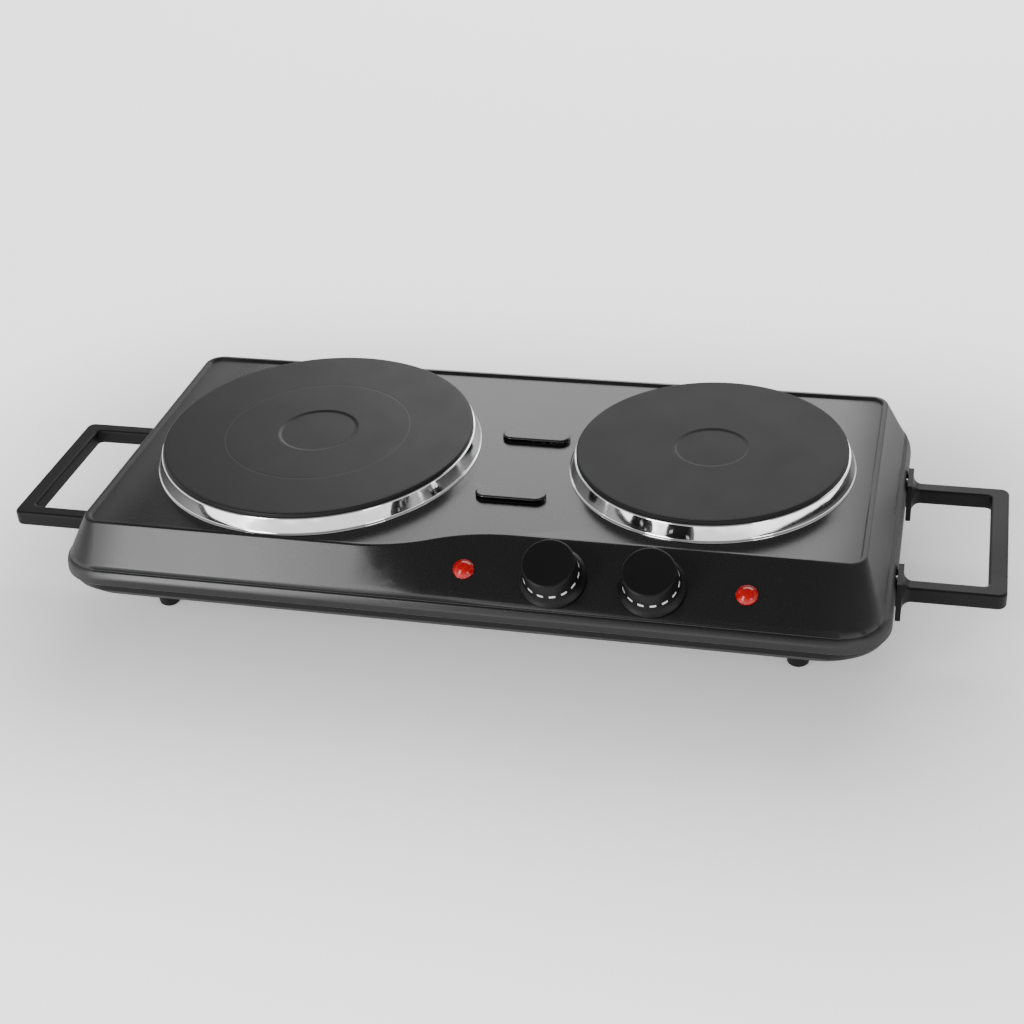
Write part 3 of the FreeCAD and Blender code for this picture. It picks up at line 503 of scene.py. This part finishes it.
def lathe(name, profile, steps=160, capped=False):
    """A turned piece about the vertical axis. The profile is (radius, height) points in millimetres.

    A capped one is solid from its first ring to its last; otherwise its last ring is joined to the first.
    """
    clear_selection()
    bpy.ops.mesh.primitive_circle_add(
        vertices=steps,
        radius=profile[0][0] * MM,
        fill_type="TRIFAN" if capped else "NOTHING",
        location=(0, 0, profile[0][1] * MM),
    )
    piece = started(name)
    bpy.ops.object.mode_set(mode="EDIT")
    bpy.ops.mesh.select_all(action="SELECT")
    for (radius, height), (next_radius, next_height) in zip(profile, profile[1:]):
        rise = (0, 0, (next_height - height) * MM)
        bpy.ops.mesh.extrude_region_move(TRANSFORM_OT_translate={"value": rise})
        scale = next_radius / radius
        bpy.ops.transform.resize(value=(scale, scale, 1), center_override=(0, 0, next_height * MM))
    if not capped:
        bpy.ops.mesh.select_all(action="DESELECT")
        bpy.ops.mesh.select_mode(type="EDGE")
        bpy.ops.mesh.select_non_manifold()
        bpy.ops.mesh.bridge_edge_loops()
    bpy.ops.mesh.select_all(action="SELECT")
    bpy.ops.mesh.normals_make_consistent(inside=False)
    bpy.ops.object.mode_set(mode="OBJECT")
    return piece


def merged_copy(node, name):
    """A copy of a CAD node's mesh with its loose triangles joined up and its flat faces made whole."""
    mesh = frame["nodes"][node].data.copy()
    mesh.materials.clear()
    piece = bpy.data.objects.new(name, mesh)
    bpy.context.scene.collection.objects.link(piece)
    take(piece)
    bpy.ops.object.mode_set(mode="EDIT")
    bpy.ops.mesh.select_all(action="SELECT")
    bpy.ops.mesh.remove_doubles(threshold=WELD_DISTANCE)
    bpy.ops.mesh.dissolve_limited(angle_limit=FLATNESS)
    bpy.ops.object.mode_set(mode="OBJECT")
    return piece


def on_axis(joint):
    """The place and tilt of a knob's joint: upright along its axis, where it meets the panel."""
    axis = Vector(joint["axis"])
    turn = Vector((0, 0, 1)).rotation_difference(axis).to_matrix().to_4x4()
    return Matrix.Translation(joint["pos_m"]) @ turn


# One operator for each piece or group of like pieces.


class HOTPLATE_OT_housing(bpy.types.Operator):
    """Pressed and enamelled top shell with its bead, panel, groove and band"""

    bl_idname = "hotplate.housing"
    bl_label = "Housing"

    def execute(self, context):
        shell = merged_copy("top_housing", "housing_shell")
        paint = enamel(context.scene.hot_plate.enamel)
        finished(shell, paint, HOUSING, ["top_housing"], 28.0)
        return {"FINISHED"}


class HOTPLATE_OT_base(bpy.types.Operator):
    """Black base plate with its vents"""

    bl_idname = "hotplate.base"
    bl_label = "Base plate"

    COLOUR = (0.006, 0.006, 0.0062)

    def execute(self, context):
        base = merged_copy("base_plate", "base_dish")
        paint = grained(
            "base_paint", self.COLOUR, 0.42, 0.8 * MM, 0.02 * MM, Specular_IOR_Level=0.2
        )
        finished(base, paint, HOUSING, ["base_plate"], 30.0)
        return {"FINISHED"}


class HOTPLATE_OT_plates(bpy.types.Operator):
    """Both iron cooking plates, turned, with a sunk middle"""

    bl_idname = "hotplate.plates"
    bl_label = "Cooking plates"

    STEPS = 256
    EDGE_ROUNDING = 0.12 * MM
    DISH = {"large": 23.0, "small": 20.5}
    DULLNESS = {"large": 0.36, "small": 0.46}

    def execute(self, context):
        settings = context.scene.hot_plate.plate
        for size in SIZES:
            node = f"{size}_plate"
            low, high = (Vector(corner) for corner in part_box(node))
            edge = (high.x - low.x) / 2 / MM
            dish = self.DISH[size]
            ring = settings.ring_radius / MM if size == "large" else None
            plate = lathe(f"{size}_cooking_plate", self.profile(edge, dish, ring), self.STEPS, capped=True)
            centre = Vector(((low.x + high.x) / 2, (low.y + high.y) / 2, high.z))
            applied(plate, "BEVEL", width=self.EDGE_ROUNDING, segments=2, limit_method="ANGLE")
            moved(plate, Matrix.Translation(centre))
            dullness = self.DULLNESS[size]
            paint = turned_iron(
                f"{size}_turned_iron", centre, dish * MM, ring and ring * MM, dullness, settings
            )
            finished(plate, paint, HOUSING, [node], 20.0)
        return {"FINISHED"}

    def profile(self, edge, dish, ring):
        """From the boss below, round the rim, to the sunk middle; heights count down from the top."""
        points = [
            (14, -22.2),
            (15, -10),
            (edge - 8.5, -10),
            (edge - 8.5, -17),
            (edge - 4.5, -17),
            (edge - 4.5, -10),
            (edge - 1.3, -8),
            (edge - 1.3, -2.6),
            (edge - 0.3, -2.6),
            (edge, -2.3),
            (edge, -0.9),
            (edge - 0.25, -0.35),
            (edge - 0.7, -0.08),
            (edge - 1.6, 0),
            (edge - 2.4, 0),
        ]
        if ring:
            points += [(ring + 1.2, 0), (ring + 0.5, 0), (ring + 0.2, -0.06), (ring - 0.2, -0.06)]
            points += [(ring - 0.5, 0), (ring - 1.2, 0)]
        points += [(dish + 1.6, 0), (dish + 0.9, 0), (dish + 0.3, -0.18), (dish - 0.3, -0.5)]
        points += [(dish - 1, -0.6), (dish - 1.8, -0.6), (1.5, -0.6)]
        return points


class HOTPLATE_OT_trim_rings(bpy.types.Operator):
    """Chrome rings round the cooking plates, pressed from sheet with a rolled foot"""

    bl_idname = "hotplate.trim_rings"
    bl_label = "Trim rings"

    STEPS = 256
    EDGE_ROUNDING = 0.22 * MM
    FOOT_REACH = 4.2

    def execute(self, context):
        paint = chrome()
        for size in SIZES:
            node = f"{size}_trim_ring"
            low, high = (Vector(corner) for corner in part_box(node))
            edge = (high.x - low.x) / 2 / MM - self.FOOT_REACH
            rise = (high.z - low.z) / MM
            ring = lathe(f"{size}_chrome_ring", self.profile(edge, rise), self.STEPS)
            applied(ring, "BEVEL", width=self.EDGE_ROUNDING, segments=3, limit_method="ANGLE")
            moved(ring, Matrix.Translation(((low.x + high.x) / 2, (low.y + high.y) / 2, low.z)))
            finished(ring, paint, HOUSING, [node], 40.0)
        return {"FINISHED"}

    def profile(self, edge, rise):
        """Inside the ring down to its foot, out along it, and back up the face; the foot is at height 0."""
        foot = edge + self.FOOT_REACH
        return [
            (edge - 1.2, rise - 0.6),
            (edge + 0.4, rise - 0.6),
            (edge + 2.6, 1.2),
            (edge + 2.8, 0),
            (foot, 0),
            (foot, 0.5),
            (edge + 3.5, 0.95),
            (edge + 3.1, 1.6),
            (edge + 1.1, rise - 0.75),
            (edge + 0.85, rise - 0.25),
            (edge + 0.45, rise),
            (edge - 1.2, rise),
        ]


class HOTPLATE_OT_knobs(bpy.types.Operator):
    """Black knobs with a flared skirt and white dashes round it"""

    bl_idname = "hotplate.knobs"
    bl_label = "Knobs"

    STEPS = 128
    EDGE_ROUNDING = 0.12 * MM
    PROFILE = [
        (3.02, 15.3),
        (3.02, 7.5),
        (6, 7.5),
        (6, 16.2),
        (12.6, 16.2),
        (13.6, 6),
        (15.8, 0.7),
        (18.4, 0.7),
        (18.4, 1.7),
        (17.6, 2.3),
        (16.5, 3.2),
        (15.7, 4.6),
        (15.3, 6.3),
        (15.1, 8.5),
        (14.65, 17.2),
        (14.32, 17.96),
        (13.6, 18.46),
        (13.2, 18.5),
        (2.0, 18.5),
    ]
    DASH_LOW = (15.22, 7.3)
    DASH_HIGH = (15.08, 8.9)
    DASH_LIFT = 0.12
    DASH_ARC = math.radians(12.5)
    DASH_SEGMENTS = 5

    def execute(self, context):
        settings = context.scene.hot_plate.knob
        plastic = grained(
            "knob_plastic", settings.colour, 0.4, 0.35 * MM, 0.02 * MM, Specular_IOR_Level=0.18
        )
        ink = white_print()
        for size in SIZES:
            matrix = on_axis(JOINTS[f"{size}_knob_turn"])
            body = f"{size}_dial"
            grip = self.grip(size)
            moved(grip, matrix)
            finished(grip, plastic, body, [f"{size}_knob"], 32.0)
            dashes = self.dashes(size, settings)
            moved(dashes, matrix)
            finished(dashes, ink, body, [], 30.0)
        return {"FINISHED"}

    def grip(self, size):
        grip = lathe(f"{size}_knob_grip", self.PROFILE, self.STEPS, capped=True)
        applied(grip, "BEVEL", width=self.EDGE_ROUNDING, segments=2, limit_method="ANGLE")
        return grip

    def dashes(self, size, settings):
        """One curved dash, spun from its section, then its copies round the skirt."""
        radius = (self.DASH_LOW[0] + self.DASH_HIGH[0]) / 2
        height = (self.DASH_LOW[1] + self.DASH_HIGH[1]) / 2
        slope = math.atan2(self.DASH_HIGH[0] - self.DASH_LOW[0], self.DASH_HIGH[1] - self.DASH_LOW[1])
        length = math.dist(self.DASH_LOW, self.DASH_HIGH)
        clear_selection()
        bpy.ops.mesh.primitive_plane_add(
            size=1,
            location=(radius * MM, 0, height * MM),
            rotation=(math.radians(90), slope, 0),
        )
        section = bpy.context.object
        section.scale = (2 * self.DASH_LIFT * MM, length * MM, 1)
        dash = started(f"{size}_knob_dashes")
        first = math.radians(-90) - self.DASH_ARC / 2 - settings.dash_step * (settings.dashes - 1) / 2
        moved(dash, Matrix.Rotation(first, 4, "Z"))
        bpy.ops.object.mode_set(mode="EDIT")
        bpy.ops.mesh.select_all(action="SELECT")
        bpy.ops.mesh.spin(steps=self.DASH_SEGMENTS, angle=self.DASH_ARC, center=(0, 0, 0), axis=(0, 0, 1))
        bpy.ops.mesh.select_all(action="SELECT")
        bpy.ops.mesh.remove_doubles(threshold=0.001 * MM)
        bpy.ops.mesh.normals_make_consistent(inside=False)
        bpy.ops.object.mode_set(mode="OBJECT")
        copies = []
        for index in range(1, settings.dashes):
            copy = dash.copy()
            copy.data = dash.data.copy()
            bpy.context.scene.collection.objects.link(copy)
            moved(copy, Matrix.Rotation(settings.dash_step * index, 4, "Z"))
            copies.append(copy)
        take(dash)
        for copy in copies:
            copy.select_set(True)
        bpy.ops.object.join()
        return dash


class HOTPLATE_OT_lamps(bpy.types.Operator):
    """Red domed lenses of the two pilot lamps"""

    bl_idname = "hotplate.lamps"
    bl_label = "Lamps"

    def execute(self, context):
        paint = lens_red(context.scene.hot_plate.lamp)
        for side in ("left", "right"):
            node = f"{side}_lamp_lens"
            lens = merged_copy(node, f"{side}_lamp_dome")
            finished(lens, paint, HOUSING, [node], 40.0)
        return {"FINISHED"}


class HOTPLATE_OT_handles(bpy.types.Operator):
    """Square loop handles of black plastic with flared, screwed roots"""

    bl_idname = "hotplate.handles"
    bl_label = "Handles"

    EDGE_ROUNDING = 0.8 * MM
    ROUNDED_ABOVE = math.radians(40)

    def execute(self, context):
        settings = context.scene.hot_plate.knob
        paint = grained(
            "handle_plastic", settings.colour, 0.5, 0.5 * MM, 0.03 * MM, Specular_IOR_Level=0.2
        )
        for side in ("left", "right"):
            node = f"{side}_handle"
            handle = merged_copy(node, f"{side}_grip_loop")
            applied(
                handle,
                "BEVEL",
                width=self.EDGE_ROUNDING,
                segments=3,
                limit_method="ANGLE",
                angle_limit=self.ROUNDED_ABOVE,
            )
            finished(handle, paint, HOUSING, [node], 35.0)
        return {"FINISHED"}


class HOTPLATE_OT_rubber(bpy.types.Operator):
    """Rubber feet and the cord bushing"""

    bl_idname = "hotplate.rubber"
    bl_label = "Feet and bushing"

    COLOUR = (0.008, 0.008, 0.008)

    def execute(self, context):
        paint = grained(
            "rubber", self.COLOUR, 0.62, 0.6 * MM, 0.04 * MM, Specular_IOR_Level=0.25
        )
        nodes = [node for node, slot in SLOTS.items() if slot == "black_rubber"]
        for node in nodes:
            piece = merged_copy(node, f"{node}_rubber")
            finished(piece, paint, HOUSING, [node], 40.0)
        return {"FINISHED"}


class HOTPLATE_OT_inside(bpy.types.Operator):
    """Paint for the parts inside the body and for the screws"""

    bl_idname = "hotplate.inside"
    bl_label = "Inside parts"

    # Each finish's colour, roughness and metallic share.
    FINISHES = {
        "zinc_steel": ((0.56, 0.56, 0.57), 0.34, 1.0),
        "heating_wire": ((0.2, 0.18, 0.16), 0.55, 0.8),
        "white_ceramic": ((0.76, 0.74, 0.69), 0.6, 0.0),
        "lamp_glass": ((0.75, 0.72, 0.66), 0.12, 0.0),
        "brass": ((0.72, 0.52, 0.22), 0.32, 1.0),
        "brown_wire": ((0.18, 0.07, 0.03), 0.5, 0.0),
        "black_wire": ((0.015, 0.015, 0.015), 0.5, 0.0),
        "blue_wire": ((0.02, 0.1, 0.42), 0.5, 0.0),
        "green_wire": ((0.06, 0.32, 0.06), 0.5, 0.0),
    }

    def execute(self, context):
        paints = {
            slot: grained(slot, colour, roughness, 0.7 * MM, 0.02 * MM, 0.15, metallic)
            for slot, (colour, roughness, metallic) in self.FINISHES.items()
        }
        for node, slot in SLOTS.items():
            if slot in paints:
                mesh = frame["nodes"][node].data
                mesh.materials.clear()
                mesh.materials.append(paints[slot])
        return {"FINISHED"}


class HOTPLATE_OT_stage(bpy.types.Operator):
    """Pale floor, soft lights, pale surroundings and the camera"""

    bl_idname = "hotplate.stage"
    bl_label = "Stage"

    # Each light's place, the point it faces and its width and height.
    LIGHTS = {
        "back_light": ((0.15, 1.9, 1.25), (0.0, 0.0, 0.1), (2.3, 1.3)),
        "left_light": ((-0.88, -1.5, 0.72), (-0.15, -0.1, 0.06), (0.55, 1.3)),
        "right_light": ((1.5, -1.3, 0.6), (0.1, 0.0, 0.06), (0.5, 0.7)),
    }
    FLOOR_WIDTH = 14
    FLOOR_GLOW = 1.6
    # Size and fade of the painted shadow round the object on the floor
    SHADOW_HALF_WIDTH = 0.2
    SHADOW_HALF_DEPTH = 0.08
    SHADOW_FADE = 0.3
    FADE_START = 0.05
    FADE_END = 0.55
    LEVEL_STRENGTH = 1.3
    OVERHEAD_STRENGTH = 0.25
    SENSOR_WIDTH = 36

    def execute(self, context):
        settings = context.scene.hot_plate.stage
        self.floor()
        self.surroundings(context.scene)
        for name, (place, aim, size) in self.LIGHTS.items():
            self.light(name, place, aim, size, getattr(settings, name))
        self.camera(context.scene, settings)
        return {"FINISHED"}

    def floor(self):
        """A pale, faintly glowing floor with a painted soft shadow under and round the object."""
        clear_selection()
        bpy.ops.mesh.primitive_plane_add(size=1)
        floor = bpy.context.object
        floor.scale = (self.FLOOR_WIDTH, self.FLOOR_WIDTH, 1)
        started("floor")
        paint = Paint(
            "floor_white", Roughness=0.9, Specular_IOR_Level=0.0, Emission_Strength=self.FLOOR_GLOW
        )
        place = paint.place()
        across, back, _ = paint.apart(place)
        out_across = (abs(across) - self.SHADOW_HALF_WIDTH).larger(0.0)
        out_back = (abs(back) - self.SHADOW_HALF_DEPTH).larger(0.0)
        out_of_shadow = ((out_across * out_across + out_back * out_back) ** 0.5).smooth(0.0, self.SHADOW_FADE)
        paint.feed(
            paint.shader,
            {
                "Base Color": paint.blend(paint.noise(place, 0.8), (0.88, 0.88, 0.88), (0.9, 0.9, 0.9)),
                # Painted shadow: the floor's glow is lowered under and round the object
                "Emission Color": paint.blend(out_of_shadow, (0.2, 0.2, 0.2), (1.0, 1.0, 1.0)),
            },
        )
        floor.data.materials.append(paint.material)

    def surroundings(self, scene):
        """White light all round: strong near the level and weak overhead."""
        world = bpy.data.worlds.new("surroundings")
        world.use_nodes = True
        scene.world = world
        nodes = Nodes(world.node_tree)
        direction = nodes.node("ShaderNodeTexCoord", {}, {}, "Generated")
        _, _, rise = nodes.apart(direction)
        inputs = {
            "Value": rise,
            "From Min": self.FADE_START,
            "From Max": self.FADE_END,
            "To Min": self.LEVEL_STRENGTH,
            "To Max": self.OVERHEAD_STRENGTH,
        }
        strength = nodes.node("ShaderNodeMapRange", {"interpolation_type": "SMOOTHSTEP"}, inputs)
        background = world.node_tree.nodes["Background"]
        nodes.feed(background, {"Color": (1.0, 1.0, 1.0, 1.0), "Strength": strength})

    def light(self, name, place, aim, size, power):
        lamp = bpy.data.lights.new(name, "AREA")
        lamp.shape = "RECTANGLE"
        lamp.size, lamp.size_y = size
        lamp.energy = power
        stand = bpy.data.objects.new(name, lamp)
        bpy.context.scene.collection.objects.link(stand)
        stand.location = place
        stand.rotation_euler = (Vector(aim) - Vector(place)).to_track_quat("-Z", "Y").to_euler()

    def camera(self, scene, settings):
        azimuth, elevation, roll = settings.azimuth, settings.elevation, settings.roll
        level = math.cos(elevation)
        back = Vector((math.sin(azimuth) * level, -math.cos(azimuth) * level, math.sin(elevation)))
        right = Vector((math.cos(azimuth), math.sin(azimuth), 0))
        up = back.cross(right)
        turned_right = right * math.cos(roll) + up * math.sin(roll)
        turned_up = up * math.cos(roll) - right * math.sin(roll)
        camera = bpy.data.objects.new("camera", bpy.data.cameras.new("camera"))
        camera.data.lens = settings.lens
        camera.data.sensor_width = self.SENSOR_WIDTH
        rotation = Matrix((turned_right, turned_up, back)).transposed()
        camera.matrix_world = Matrix.Translation(settings.stand) @ rotation.to_4x4()
        scene.collection.objects.link(camera)
        scene.camera = camera


OPERATORS = (
    HOTPLATE_OT_housing,
    HOTPLATE_OT_base,
    HOTPLATE_OT_plates,
    HOTPLATE_OT_trim_rings,
    HOTPLATE_OT_knobs,
    HOTPLATE_OT_lamps,
    HOTPLATE_OT_handles,
    HOTPLATE_OT_rubber,
    HOTPLATE_OT_inside,
    HOTPLATE_OT_stage,
)


class HOTPLATE_PT_pieces(bpy.types.Panel):
    """Lists the operators in the order in which they run"""

    bl_idname = "HOTPLATE_PT_pieces"
    bl_label = "Hot plate"
    bl_space_type = "VIEW_3D"
    bl_region_type = "UI"
    bl_category = "Hot Plate"

    def draw(self, context):
        column = self.layout.column()
        for operator in OPERATORS:
            column.operator(operator.bl_idname)
        settings = context.scene.hot_plate
        for group in (settings.enamel, settings.plate, settings.knob, settings.lamp, settings.stage):
            for key in group.bl_rna.properties.keys():
                if key not in {"rna_type", "name"}:
                    column.prop(group, key)


CLASSES = (
    EnamelSettings,
    PlateSettings,
    KnobSettings,
    LampSettings,
    StageSettings,
    HotPlateSettings,
    *OPERATORS,
    HOTPLATE_PT_pieces,
)


def register():
    for item in CLASSES:
        bpy.utils.register_class(item)
    bpy.types.Scene.hot_plate = bpy.props.PointerProperty(type=HotPlateSettings)


def unregister():
    del bpy.types.Scene.hot_plate
    for item in reversed(CLASSES):
        bpy.utils.unregister_class(item)


def main():
    register()
    bpy.ops.hotplate.housing()
    bpy.ops.hotplate.base()
    bpy.ops.hotplate.plates()
    bpy.ops.hotplate.trim_rings()
    bpy.ops.hotplate.knobs()
    bpy.ops.hotplate.lamps()
    bpy.ops.hotplate.handles()
    bpy.ops.hotplate.rubber()
    bpy.ops.hotplate.inside()
    bpy.ops.hotplate.stage()


if __name__ == "__main__":
    main()
